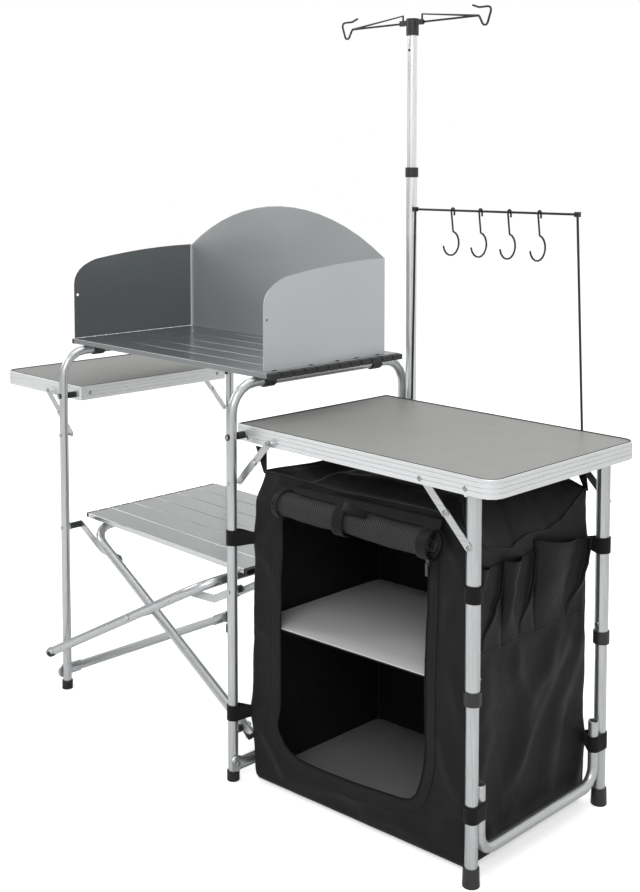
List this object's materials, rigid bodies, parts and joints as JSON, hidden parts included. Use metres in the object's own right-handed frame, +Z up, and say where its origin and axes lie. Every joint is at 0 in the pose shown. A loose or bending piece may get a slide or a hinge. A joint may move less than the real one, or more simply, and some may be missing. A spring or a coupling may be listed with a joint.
{
  "type": "folding camping kitchen table",
  "caption": "Folding aluminium camping kitchen table with slatted cooking top, windscreen, side tables, soft cupboard, lantern pole and hook rail.",
  "frame": {"origin": "on the floor, midway between the outer ends of the two side tables and midway between front and rear", "axes": "+Z up; X runs from the short left-hand table to the long right-hand one; -Y is the front, where the cupboard opens"},
  "size_m": [1.441, 0.5498, 1.4643],
  "materials": {
    "aluminium_tube": "satin anodised",
    "aluminium_edging": "satin anodised, grooved",
    "aluminium_slat": "smooth anodised",
    "windscreen_sheet": "satin grey",
    "table_laminate": "warm grey laminate on board",
    "black_plastic": "moulded",
    "black_wire": "black coated wire",
    "cupboard_fabric": "black woven, with mesh door",
    "cupboard_board": "grey stiffened insert",
    "spring_button": "bright"
  },
  "bodies": {
    "right_end": {"right_frame_tube": "aluminium_tube", "right_frame_foot_front": "black_plastic", "right_frame_foot_rear": "black_plastic", "right_bottom_rail": "aluminium_tube", "right_table_board": "table_laminate", "right_table_apron": "aluminium_edging", "right_table_pivot_front": "black_plastic", "right_table_pivot_rear": "black_plastic", "right_table_stay_front": "aluminium_tube", "right_table_stay_rear": "aluminium_tube", "lantern_pole_lower": "aluminium_tube", "lantern_clamp": "black_plastic", "hook_rail": "black_wire", "cupboard_shell": "cupboard_fabric", "cupboard_door_roll": "cupboard_fabric", "cupboard_shelf_mid": "cupboard_board", "cupboard_shelf_base": "cupboard_board"},
    "scissor_inner": {"scissor_inner_tube": "aluminium_tube"},
    "scissor_outer": {"scissor_outer_tube": "aluminium_tube"},
    "left_frame": {"left_frame_tube": "aluminium_tube", "left_frame_foot_front": "black_plastic", "left_frame_foot_rear": "black_plastic", "left_bottom_rail": "aluminium_tube"},
    "left_table": {"left_table_board": "table_laminate", "left_table_apron": "aluminium_edging", "left_table_pivot_front": "black_plastic", "left_table_pivot_rear": "black_plastic"},
    "left_stays_upper": {"left_stay_upper_front": "aluminium_tube", "left_stay_upper_rear": "aluminium_tube"},
    "left_stays_lower": {"left_stay_lower_front": "aluminium_tube", "left_stay_lower_rear": "aluminium_tube"},
    "left_links": {"left_lock_link_front": "aluminium_tube", "left_lock_link_rear": "aluminium_tube"},
    "right_links": {"right_lock_link_front": "aluminium_tube", "right_lock_link_rear": "aluminium_tube"},
    "slat_top": {"slat_top": "aluminium_slat", "windscreen_rear": "windscreen_sheet"},
    "windscreen_left": {"windscreen_left": "windscreen_sheet"},
    "windscreen_right": {"windscreen_right": "windscreen_sheet"},
    "lower_shelf": {"lower_shelf": "aluminium_slat"},
    "right_legs": {"right_leg_upper_front": "aluminium_tube", "right_leg_upper_rear": "aluminium_tube"},
    "right_lower_legs": {"right_leg_lower_front": "aluminium_tube", "right_leg_lower_rear": "aluminium_tube", "right_leg_rail": "aluminium_tube"},
    "right_stays_upper": {"right_leg_stay_upper_front": "aluminium_tube", "right_leg_stay_upper_rear": "aluminium_tube"},
    "right_stays_lower": {"right_leg_stay_lower_front": "aluminium_tube", "right_leg_stay_lower_rear": "aluminium_tube"},
    "leg_button_front": {"right_leg_button_front": "spring_button"},
    "leg_button_rear": {"right_leg_button_rear": "spring_button"},
    "lantern_upper": {"lantern_pole_upper": "aluminium_tube"},
    "lantern_button": {"lantern_button": "black_plastic"},
    "lantern_arm_left": {"lantern_arm_left": "black_wire"},
    "lantern_arm_right": {"lantern_arm_right": "black_wire"},
    "s_hook_1": {"s_hook_1": "black_wire"},
    "s_hook_2": {"s_hook_2": "black_wire"},
    "s_hook_3": {"s_hook_3": "black_wire"},
    "s_hook_4": {"s_hook_4": "black_wire"}
  },
  "joints": [
    {"name": "frame_fold", "type": "hinge", "parent": "right_end", "child": "scissor_inner", "pos_m": [0.1405, 0, 0.093], "axis": [0, 1, 0], "range_deg": [0, 27]},
    {"name": "scissor_cross", "type": "hinge", "parent": "scissor_inner", "child": "scissor_outer", "pos_m": [-0.1425, 0, 0.243], "axis": [0, -1, 0], "range_deg": [0, 54.1]},
    {"name": "left_frame_hinge", "type": "hinge", "parent": "scissor_outer", "child": "left_frame", "pos_m": [-0.4255, 0, 0.093], "axis": [0, 1, 0], "range_deg": [0, 27.1]},
    {"name": "lower_shelf_lift", "type": "slide", "parent": "right_end", "child": "lower_shelf", "axis": [0, 0, 1], "range_m": [0, 0.25]},
    {"name": "right_link_swing", "type": "hinge", "parent": "right_end", "child": "right_links", "pos_m": [0.1405, 0, 0.36], "axis": [0, -1, 0], "range_deg": [0, 73.5]},
    {"name": "left_link_swing", "type": "hinge", "parent": "left_frame", "child": "left_links", "pos_m": [-0.4255, 0, 0.36], "axis": [0, 1, 0], "range_deg": [0, 73.5]},
    {"name": "left_table_fold", "type": "hinge", "parent": "left_frame", "child": "left_table", "pos_m": [-0.4255, 0, 0.65], "axis": [0, 1, 0], "range_deg": [-70, 0]},
    {"name": "left_stay_upper_swing", "type": "hinge", "parent": "left_table", "child": "left_stays_upper", "pos_m": [-0.5205, 0, 0.646], "axis": [0, 1, 0], "range_deg": [-56.76, 0]},
    {"name": "left_stay_lower_swing", "type": "hinge", "parent": "left_frame", "child": "left_stays_lower", "pos_m": [-0.4255, 0, 0.564], "axis": [0, -1, 0], "range_deg": [-26.82, 0]},
    {"name": "right_leg_fold", "type": "hinge", "parent": "right_end", "child": "right_legs", "pos_m": [0.6665, 0, 0.638], "axis": [0, 1, 0], "range_deg": [0, 88], "deforming": ["cupboard_shell", "cupboard_door_roll", "cupboard_shelf_mid", "cupboard_shelf_base"]},
    {"name": "right_leg_telescope", "type": "slide", "parent": "right_legs", "child": "right_lower_legs", "axis": [0, 0, 1], "range_m": [0, 0.121]},
    {"name": "right_stay_upper_swing", "type": "hinge", "parent": "right_end", "child": "right_stays_upper", "pos_m": [0.5735, 0, 0.646], "axis": [0, 1, 0], "range_deg": [0, 95.09]},
    {"name": "right_stay_lower_swing", "type": "hinge", "parent": "right_legs", "child": "right_stays_lower", "pos_m": [0.6665, 0, 0.5524], "axis": [0, -1, 0], "range_deg": [0, 161.76]},
    {"name": "slat_top_lift", "type": "slide", "parent": "right_end", "child": "slat_top", "axis": [0, 0, 1], "range_m": [0, 0.15]},
    {"name": "windscreen_left_fold", "type": "hinge", "parent": "slat_top", "child": "windscreen_left", "pos_m": [-0.4675, 0.153, 0.7663], "axis": [0, 0, 1], "range_deg": [0, 88]},
    {"name": "windscreen_right_fold", "type": "hinge", "parent": "slat_top", "child": "windscreen_right", "pos_m": [0.1605, 0.153, 0.7663], "axis": [0, 0, -1], "range_deg": [0, 84]},
    {"name": "lantern_slide", "type": "slide", "parent": "right_end", "child": "lantern_upper", "axis": [0, 0, 1], "range_m": [-0.22, 0]},
    {"name": "lantern_arm_left_fold", "type": "hinge", "parent": "lantern_upper", "child": "lantern_arm_left", "pos_m": [0.1375, 0.2345, 1.441], "axis": [0, -1, 0], "range_deg": [0, 75]},
    {"name": "lantern_arm_right_fold", "type": "hinge", "parent": "lantern_upper", "child": "lantern_arm_right", "pos_m": [0.1895, 0.2345, 1.441], "axis": [0, 1, 0], "range_deg": [0, 75]},
    {"name": "lantern_button_press", "type": "slide", "parent": "lantern_upper", "child": "lantern_button", "axis": [0, 1, 0], "range_m": [0, 0.0015], "stiffness_N_per_m": 400},
    {"name": "leg_button_front_press", "type": "slide", "parent": "right_legs", "child": "leg_button_front", "axis": [0, -1, 0], "range_m": [0, 0.001], "stiffness_N_per_m": 400},
    {"name": "leg_button_rear_press", "type": "slide", "parent": "right_legs", "child": "leg_button_rear", "axis": [0, 1, 0], "range_m": [0, 0.001], "stiffness_N_per_m": 400},
    {"name": "s_hook_1_swing", "type": "hinge", "parent": "right_end", "child": "s_hook_1", "pos_m": [0.2925, 0.212, 1.06], "axis": [1, 0, 0], "range_deg": [-30, 30]},
    {"name": "s_hook_2_swing", "type": "hinge", "parent": "right_end", "child": "s_hook_2", "pos_m": [0.362, 0.212, 1.06], "axis": [1, 0, 0], "range_deg": [-30, 30]},
    {"name": "s_hook_3_swing", "type": "hinge", "parent": "right_end", "child": "s_hook_3", "pos_m": [0.4315, 0.212, 1.06], "axis": [1, 0, 0], "range_deg": [-30, 30]},
    {"name": "s_hook_4_swing", "type": "hinge", "parent": "right_end", "child": "s_hook_4", "pos_m": [0.501, 0.212, 1.06], "axis": [1, 0, 0], "range_deg": [-30, 30]}
  ],
  "couplings": [
    {"joint": "scissor_cross", "follows": "frame_fold", "ratio": 2},
    {"joint": "left_frame_hinge", "follows": "frame_fold", "ratio": 1},
    {"joint": "lower_shelf_lift", "follows": "frame_fold", "m_per_rad": 0.515},
    {"joint": "right_link_swing", "follows": "frame_fold", "ratio": 2.7},
    {"joint": "left_link_swing", "follows": "frame_fold", "ratio": 2.7},
    {"joint": "left_stay_upper_swing", "follows": "left_table_fold", "ratio": 0.808},
    {"joint": "left_stay_lower_swing", "follows": "left_table_fold", "ratio": 0.38027},
    {"joint": "right_leg_telescope", "follows": "right_leg_fold", "m_per_rad": 0.0781},
    {"joint": "right_stay_upper_swing", "follows": "right_leg_fold", "ratio": 1.0783},
    {"joint": "right_stay_lower_swing", "follows": "right_leg_fold", "ratio": 1.8359}
  ]
}
